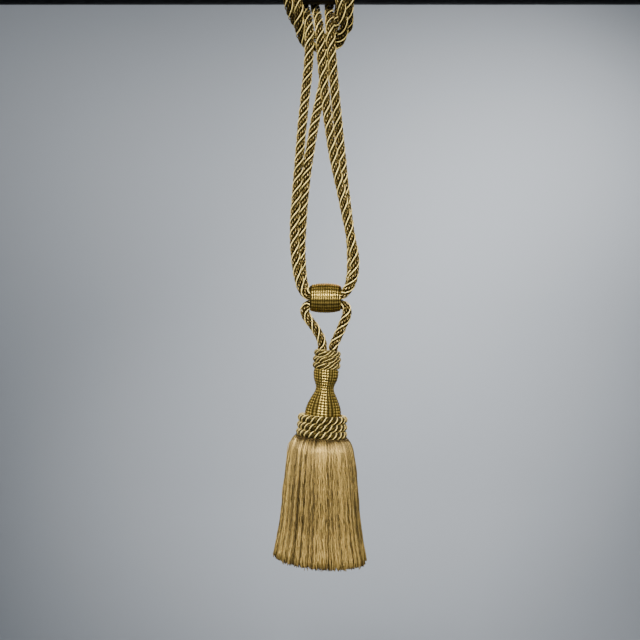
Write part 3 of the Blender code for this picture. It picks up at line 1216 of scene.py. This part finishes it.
@dataclass
class Head:
    """The turned mould, wound with thread from the knot down to the collar."""

    rows: tuple[tuple[float, float], ...] = (
        # depth below the knot's top, radius (mm)
        (18.6, 10.4),
        (19.9, 11.9),
        (21.6, 12.7),
        (25.5, 12.6),
        (30.0, 11.8),
        (33.5, 10.4),
        (36.5, 9.4),
        (39.5, 9.3),
        (42.5, 10.1),
        (47.0, 12.3),
        (51.5, 14.6),
        (56.0, 16.6),
        (60.5, 17.9),
        (64.0, 18.4),
        (67.5, 18.1),
    )
    peg: tuple[tuple[float, float], ...] = ((0.6, 0.0), (0.6, 7.2), (1.2, 7.6), (17.8, 8.4))
    foot: tuple[tuple[float, float], ...] = ((87.0, 17.6), (87.0, 0.0))
    cover: float = 0.8
    # the core shows in the gaps between the laps, and its darker tone is painted shade there
    core_gap_shade_tone: float = 0.25
    winding: Winding = Winding(
        rows, first=19.2, last=67.0, thread=Section(4.8 * MM, 10), pitch=2.7, strokes=27.0,
        steps=162, seed=8, tone=0.13, contrast=0.16,
    )

    def build(self) -> None:
        """Turn the core and wind the thread over it."""
        material = WOUND_THREAD.make()
        waist = tuple((depth, radius - self.cover) for depth, radius in self.rows)
        profile = [(-depth * MM, radius * MM) for depth, radius in self.peg + waist + self.foot]
        core = turned("head_core", profile, 72, TASSEL, material, "thread_gold", self.core_gap_shade_tone)
        winding = self.winding.build("head_winding", TASSEL, material, "thread_gold")
        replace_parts(core, "head")
        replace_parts(winding, "head")
        LOG.info("head: %d faces", len(winding.data.polygons))


@dataclass
class Binding:
    """Turns of laid cord bound round the tassel: dark plies with a bright cord in each groove.

    The rows give each turn's depth below the knot's top and its radius, in mm. The strokes are the
    plies that show round one turn. The wobble is how far a turn rises and falls, in mm, and uneven
    how far its plies run ahead or behind, in radians.
    """

    name: str
    node: str
    rows: tuple[tuple[float, float], ...]
    diameter: float
    strokes: int
    plies: int
    ply_share: float
    groove_cord: Section
    seed: int
    lay: Lay = Lay.LEFT
    steps: int = 240
    wobble: float = 0.25
    uneven: float = 0.2
    seam: float = 0.2

    def rings(self, number: int, offset: float, ahead: float) -> tuple[list[np.ndarray], np.ndarray]:
        """Lay the closed lines of one kind of strand in one turn of the cord.

        Args:
            number: the turn, counted from the top.
            offset: distance of the strands from the cord's centre, in metres.
            ahead: how far the strands lie ahead of the plies, as a share of their spacing.

        Returns:
            The strands' lines and, step by step, the cord's centre.
        """
        depth, radius = self.rows[number]
        chance = np.random.default_rng(self.seed + number)
        waves = chance.uniform(0.0, math.tau, 3)
        lines_wanted = math.gcd(self.strokes, self.plies)
        share = np.arange(self.steps * self.plies // lines_wanted) / self.steps
        around = math.tau * share + self.seam
        rise = self.wobble * np.sin(around + waves[2])
        # each turn is set so that its strokes run on into the next turn's
        start = -self.lay.value * math.pi * number * (self.plies % 2) / self.plies
        # the turns were pulled tight by hand, so the lay is not quite even
        drift = np.sin(2.0 * around + waves[0]) + 0.5 * np.sin(5.0 * around + waves[1])
        drift *= self.uneven
        lines = []
        for line in range(lines_wanted):
            spin = self.lay.value * math.tau * self.strokes / self.plies * share + drift + start
            spin += math.tau * (line + ahead) / self.plies
            out = radius + offset / MM * np.cos(spin)
            height = rise - depth - offset / MM * np.sin(spin)
            ring = np.column_stack((out * np.cos(around), out * np.sin(around), height))
            lines.append(placed(ring * MM, TASSEL))
        heart = np.column_stack((radius * np.cos(around), radius * np.sin(around), rise - depth))
        return lines, placed(heart * MM, TASSEL)

    def build(self, yarn: bpy.types.Material, cord: bpy.types.Material) -> None:
        """Lay every turn.

        Args:
            yarn: the plies' finish.
            cord: the groove cords' finish.
        """
        ply = self.ply_share * self.diameter
        outer = 0.5 * self.diameter
        for number in range(len(self.rows)):
            lines, heart = self.rings(number, outer - 0.5 * ply, 0.0)
            # the plies are painted darker near the cord's heart and in the furrows of their section,
            # brighter on their crests: painted shade and painted highlight
            plies = Threads(
                lines,
                Section(ply, 12, lobes=6, lobe_depth=0.12),
                # a ply twists twice for each time it goes round the cord
                turn=2.0 * math.tau * self.strokes / (self.plies * self.steps),
                ridge=0.3,
                heart=heart,
                reach=(0.2 * self.diameter, 0.62 * self.diameter),
                closed=True,
            ).sweep(f"{self.name}_plies_{number + 1}", yarn)
            lines, heart = self.rings(number, outer - 0.5 * self.groove_cord.diameter, 0.5)
            # the groove cords are painted darker where they sink towards the cord's heart: painted
            # shade
            grooves = Threads(
                lines,
                self.groove_cord,
                heart=heart,
                reach=(outer - 0.8 * self.groove_cord.diameter, outer),
                closed=True,
            ).sweep(f"{self.name}_groove_cords_{number + 1}", cord)
            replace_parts(plies, f"{self.node}_{number + 1}")
            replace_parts(grooves, f"{self.node}_{number + 1}")
        LOG.info("%s: %d turns", self.name, len(self.rows))


KNOT = Binding(
    name="knot",
    node="knot_turn",
    rows=((3.9, 9.9), (9.9, 10.6), (15.9, 10.5)),
    diameter=7.3 * MM,
    strokes=15,
    plies=5,
    ply_share=0.38,
    groove_cord=Section(0.7 * MM, 8),
    seed=21,
    uneven=0.32,
)
COLLAR = Binding(
    name="collar",
    node="collar_turn",
    rows=((69.0, 21.2), (76.3, 21.5), (83.4, 21.8)),
    diameter=7.9 * MM,
    strokes=24,
    plies=2,
    ply_share=0.46,
    groove_cord=Section(1.2 * MM, 8),
    seed=34,
    wobble=0.15,
)


@dataclass(frozen=True)
class SkirtLayer:
    """One layer of the skirt's threads, between two shares of the skirt's radius.

    The top is its depth below the knot's top, in mm. The strays are the threads that bow out.
    """

    name: str
    count: int
    steps: int
    top: float
    inner: float
    outer: float
    deep_tone: float
    face_tone: float
    thread: Section
    strays: bool = False


@dataclass
class Skirt:
    """The hanging skirt: a bound shoulder and layers of cut threads that clump towards the hem."""

    profile: tuple[tuple[float, float], ...] = (
        # depth below the knot's top, outer radius (mm)
        (86.4, 23.6),
        (87.4, 25.6),
        (89.0, 27.8),
        (92.0, 29.9),
        (97.3, 32.0),
        (103.3, 33.2),
        (115.3, 35.0),
        (133.4, 36.7),
        (157.4, 38.7),
        (175.5, 40.7),
        (193.5, 43.8),
        (207.4, 46.4),
    )
    heart: tuple[tuple[float, float], ...] = (
        # depth below the knot's top, radius (mm)
        (87.5, 0.0),
        (87.5, 24.0),
        (89.2, 26.6),
        (92.0, 28.7),
        (97.3, 30.8),
        (103.3, 31.8),
        (115.3, 33.0),
        (124.0, 31.0),
        (130.0, 22.0),
        (131.0, 0.0),
    )
    swing: float = 0.0655
    swing_from: float = 87.5
    hem: float = 207.4
    shoulder: float = 101.0
    # each layer's tone runs from its deep threads to its face threads, darker deeper in: painted
    # shade inside the skirt
    layers: tuple[SkirtLayer, ...] = (
        # name, threads, steps, top, inner and outer share, deep and face tone, thread
        SkirtLayer("face", 430, 28, 86.6, 0.982, 1.0, 0.58, 0.7, Section(0.7 * MM, 4), strays=True),
        SkirtLayer("outer", 1300, 15, 86.6, 0.955, 0.985, 0.18, 0.46, Section(0.75 * MM, 3)),
        SkirtLayer("middle", 1500, 9, 88.0, 0.86, 0.955, 0.0, 0.2, Section(0.7 * MM, 3)),
        SkirtLayer("inner", 1900, 4, 110.0, 0.02, 0.86, 0.1, 0.2, Section(0.7 * MM, 3)),
    )
    # the clumps: how many, how far their threads draw together, and how far they sway, in mm
    clumps: int = 120
    gather: float = 0.14
    clump_sway: float = 0.4
    clump_tone: float = 0.03
    seed: int = 12
    # the threads: how they differ in tone, and in mm in length, in depth and sideways
    thread_tone: float = 0.22
    thread_length: float = 1.1
    cut_back: float = 0.6
    thread_depth: float = 0.5
    thread_aside: float = 0.6
    # they lie close over the shoulder, loosen over 20 mm and hang free further down
    loose_from: float = 92.0
    loose_over: float = 20.0
    free_from: float = 100.0
    # how the tone runs down a thread: dark in the collar's shade, a little paler at the cut tip
    root_tone: float = -0.4
    shade_to: float = 98.0
    tip_from: float = 165.0
    tip_tone: float = 0.22
    # how far a thread may stand out of the profile in mm, unless it strays
    proud: float = 1.0
    # a thread strays when its draw is past this many spreads, and bows out this far in mm
    stray_draw: float = 2.2
    stray_bow: float = 2.4
    # the radius in mm at which a thread's way sideways is turned into an angle
    mean_radius: float = 38.0

    def core(self, material: bpy.types.Material) -> bpy.types.Object:
        """Turn the bound heart of the shoulder under the threads.

        Args:
            material: the thread's finish.

        Returns:
            The heart.
        """
        profile = [(-depth * MM, radius * MM) for depth, radius in self.heart]
        return turned("skirt_heart", profile, 72, TASSEL @ self.swung(), material, "skirt_straw")

    def swung(self) -> Matrix:
        """Let the skirt hang nearer to plumb than the head.

        Returns:
            The shear that moves it aside, from its top down.
        """
        shear = Matrix.Shear("XY", 4, (-self.swing, 0.0))
        top = Matrix.Translation((0.0, 0.0, -self.swing_from * MM))
        return top @ shear @ top.inverted()

    def stations(self, layer: SkirtLayer) -> np.ndarray:
        """Give the depths at which a layer's threads bend, close together over the shoulder.

        Args:
            layer: the layer.

        Returns:
            Depths in mm from the layer's top to the hem.
        """
        share = np.linspace(0.0, 1.0, layer.steps + 1)
        if layer.top > self.shoulder:
            return layer.top + (self.hem - layer.top) * share
        over = (self.shoulder - layer.top) / (self.hem - layer.top)
        return layer.top + (self.hem - layer.top) * np.interp(
            share, (0.0, 0.1, 0.3, 1.0), (0.0, 0.12 * over, over, 1.0)
        )

    def hang(self, layer: SkirtLayer, material: bpy.types.Material) -> bpy.types.Object:
        """Hang one layer of threads.

        Args:
            layer: the layer.
            material: the thread's finish.

        Returns:
            The layer.
        """
        count = layer.count
        chance = np.random.default_rng(self.seed + count)
        share = np.sqrt(chance.uniform(layer.inner**2, layer.outer**2, count))
        angle = math.tau * (np.arange(count) + chance.uniform(-0.5, 0.5, count)) / count
        # the clumps are the same in every layer, and their edges lie partly by chance
        clump = np.random.default_rng(self.seed)
        edges = np.sort(clump.uniform(0.0, math.tau, self.clumps))
        edges = 0.45 * edges + 0.55 * math.tau * np.arange(self.clumps) / self.clumps
        middles = 0.5 * (edges + np.append(edges[1:], edges[0] + math.tau))
        owner = (np.searchsorted(edges, angle) - 1) % self.clumps
        gap = (middles[owner] - angle + math.pi) % math.tau - math.pi
        sway = clump.normal(0.0, 1.0, (self.clumps, 4))[owner]
        own = chance.normal(0.0, 1.0, (count, 8))
        hem = self.hem + self.clump_sway * sway[:, 2] + self.thread_length * own[:, 2] - self.cut_back
        depths = self.stations(layer)
        # threads deeper in the layer are darker, a painted shade; clumps and threads then differ in
        # tone at random
        face = (share - layer.inner) / (layer.outer - layer.inner)
        tones = layer.deep_tone + (layer.face_tone - layer.deep_tone) * face
        tones += self.clump_tone * sway[:, 3] + self.thread_tone * own[:, 3]
        along = np.interp(
            depths,
            (layer.top, self.shade_to, self.tip_from, self.hem),
            (self.root_tone, 0.0, 0.0, self.tip_tone),
        )
        profile = np.array(self.profile)
        lines = []
        for i in range(count):
            depth = layer.top + (depths - layer.top) * (hem[i] - layer.top) / (self.hem - layer.top)
            free = np.clip((depth - self.free_from) / (self.hem - self.free_from), 0.0, 1.0)
            loose = np.clip((depth - self.loose_from) / self.loose_over, 0.0, 1.0)
            limit = radius_at(profile, depth)
            radius = limit * share[i]
            radius += free * (self.clump_sway * sway[i, 1] + self.thread_depth * own[i, 1])
            # a thread keeps soft waves from the spool: 30 mm long in and out, 23 and 12 sideways
            radius += loose * 0.25 * own[i, 4] * np.sin(0.21 * depth + 3.0 * own[i, 0])
            waves = 0.4 * np.sin(0.27 * depth + 5.0 * own[i, 5])
            waves += 0.3 * np.sin(0.52 * depth + 5.0 * own[i, 6])
            aside = loose * (0.6 + 0.5 * abs(own[i, 7])) * waves
            aside += free * (self.clump_sway * sway[i, 0] + self.thread_aside * own[i, 0])
            around = angle[i] + gap[i] * self.gather * free**0.7 + aside / self.mean_radius
            radius = np.minimum(radius, limit + self.proud)
            if layer.strays and own[i, 5] > self.stray_draw:
                radius += self.stray_bow * np.sin(math.pi * loose * (1.0 - free))
            # every root starts straight down
            radius[0] = radius[1]
            around[0] = around[1]
            x = radius * np.cos(around) + self.swing * (depth - self.swing_from)
            lines.append(np.column_stack((x, radius * np.sin(around), -depth)))
        return Threads(
            [placed(line * MM, TASSEL) for line in lines],
            layer.thread,
            tones=np.clip(tones[:, None] + along, 0.0, 1.0),
        ).sweep(f"skirt_{layer.name}_threads", material)

    def build(self) -> None:
        """Make the heart and hang every layer over it."""
        material = SKIRT_THREAD.make()
        pieces = [self.core(material)] + [self.hang(layer, material) for layer in self.layers]
        for piece in pieces:
            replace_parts(piece, "skirt")
        LOG.info("skirt: %d faces", sum(len(piece.data.polygons) for piece in pieces))


# ---------------------------------------------------------------- studio


@dataclass(frozen=True)
class Lamp:
    """One round soft light: where it hangs, what it points at, its size, power and beam."""

    name: str
    place: tuple[float, float, float]
    target: tuple[float, float, float]
    size: float
    power: float
    spread: float


@dataclass
class Studio:
    """A round pale studio, its soft lights and the camera, in metres."""

    floor: float = -1.7
    radius: float = 3.4
    bend: float = 1.4
    wall_height: float = 3.2
    sides: int = 96
    paper: str = "#C3C8CE"
    sky: str = "#E9EDF2"
    sky_strength: float = 0.06
    lens_mm: float = 50.625
    sensor_mm: float = 36.0
    camera_place: tuple[float, float, float] = (0.0, -0.9, -0.33)
    lamps: tuple[Lamp, ...] = (
        # name, place, target, size across, power in watts, beam in degrees
        Lamp("key_light", (-0.15, -1.75, 0.42), (0.0, 0.0, -0.36), 0.45, 7.2, 42.0),
        Lamp("top_light", (-0.6, -1.3, 1.2), (0.0, 0.0, -0.36), 0.5, 1.2, 40.0),
        Lamp("back_light", (0.3, 1.9, 0.9), (0.0, 0.0, -0.33), 0.9, 3.0, 50.0),
        Lamp("side_light_left", (-1.9, 0.8, 0.5), (0.0, 0.0, -0.33), 0.9, 2.2, 50.0),
        Lamp("side_light_right", (1.9, 0.8, 0.5), (0.0, 0.0, -0.33), 0.9, 1.8, 50.0),
        Lamp("back_wash_left", (-1.3, 1.4, 1.1), (-0.5, 3.3, 0.1), 0.8, 6.0, 100.0),
        Lamp("back_wash_right", (1.3, 1.4, 0.9), (0.5, 3.3, 0.0), 0.8, 15.0, 80.0),
        Lamp("side_wash_left", (-0.8, 0.3, 1.4), (-3.3, 0.0, -0.1), 0.8, 6.5, 100.0),
        Lamp("side_wash_right", (0.8, 0.3, 1.4), (3.3, 0.0, -0.1), 0.8, 6.5, 100.0),
        Lamp("front_wash_left", (-0.5, -1.0, 1.3), (-1.4, -3.0, -0.1), 0.8, 9.0, 110.0),
        Lamp("front_wash_right", (0.5, -1.0, 1.3), (1.4, -3.0, -0.1), 0.8, 9.0, 110.0),
    )

    def backdrop(self) -> None:
        """Spin the floor and its sweep into one round, pale surface."""
        bm = bmesh.new()
        flat = self.radius - self.bend
        outline = [(0.0, 0.0), (flat, 0.0)]
        for angle in np.linspace(0.0, 0.5 * math.pi, 13)[1:]:
            outline.append((flat + self.bend * math.sin(angle), self.bend * (1.0 - math.cos(angle))))
        outline.append((self.radius, self.wall_height))
        profile = [bm.verts.new((out, 0.0, self.floor + up)) for out, up in outline]
        edges = [bm.edges.new(pair) for pair in zip(profile, profile[1:])]
        spin_round(bm, profile + edges, self.sides)
        bmesh.ops.remove_doubles(bm, verts=bm.verts, dist=0.1 * MM)
        mesh = bpy.data.meshes.new("studio_floor")
        bm.to_mesh(mesh)
        bm.free()
        mesh.shade_smooth()
        # matt paper, which takes the light softly and shows no glare
        material, tree = empty_material("pale_paper_backdrop")
        shader = add_node(
            tree, "ShaderNodeBsdfPrincipled",
            {"Base Color": linear(self.paper), "Roughness": 0.9, "Specular IOR Level": 0.1},
        )
        add_node(tree, "ShaderNodeOutputMaterial", {"Surface": shader.outputs["BSDF"]})
        mesh.materials.append(material)
        floor = bpy.data.objects.new("studio_floor", mesh)
        bpy.context.scene.collection.objects.link(floor)

    def light(self) -> None:
        """Hang the soft lights and set a low, even sky."""
        for lamp in self.lamps:
            light = bpy.data.lights.new(lamp.name, "AREA")
            light.shape = "DISK"
            light.size = lamp.size
            light.energy = lamp.power
            light.spread = math.radians(lamp.spread)
            holder = bpy.data.objects.new(lamp.name, light)
            aim = Vector(lamp.target) - Vector(lamp.place)
            holder.location = lamp.place
            holder.rotation_euler = aim.to_track_quat("-Z", "Y").to_euler()
            holder.visible_camera = False
            bpy.context.scene.collection.objects.link(holder)
        world = bpy.data.worlds.new("studio_sky")
        world.use_nodes = True
        sky = world.node_tree.nodes["Background"]
        sky.inputs["Color"].default_value = linear(self.sky)
        sky.inputs["Strength"].default_value = self.sky_strength
        bpy.context.scene.world = world

    def camera(self) -> None:
        """Set the camera level in front of the tieback."""
        lens = bpy.data.cameras.new("camera")
        lens.lens = self.lens_mm
        lens.sensor_width = self.sensor_mm
        camera = bpy.data.objects.new("camera", lens)
        camera.location = self.camera_place
        camera.rotation_euler = (0.5 * math.pi, 0.0, 0.0)
        bpy.context.scene.collection.objects.link(camera)
        bpy.context.scene.camera = camera

    def build(self) -> None:
        """Set the camera, the lights and the backdrop."""
        self.camera()
        self.light()
        self.backdrop()
        LOG.info("studio: %d lights", len(self.lamps))


# ---------------------------------------------------------------- making


def main() -> None:
    """Build every piece in order."""
    logging.basicConfig(level=logging.INFO, format="%(name)s %(message)s")
    Studio().build()
    cream_cord = SATIN_CORD.make()
    Rope().build(cream_cord)
    Rod().build()
    Slider().build()
    Head().build()
    dark_yarn = BINDING_YARN.make()
    KNOT.build(dark_yarn, cream_cord)
    COLLAR.build(dark_yarn, cream_cord)
    Skirt().build()


if __name__ == "__main__":
    main()
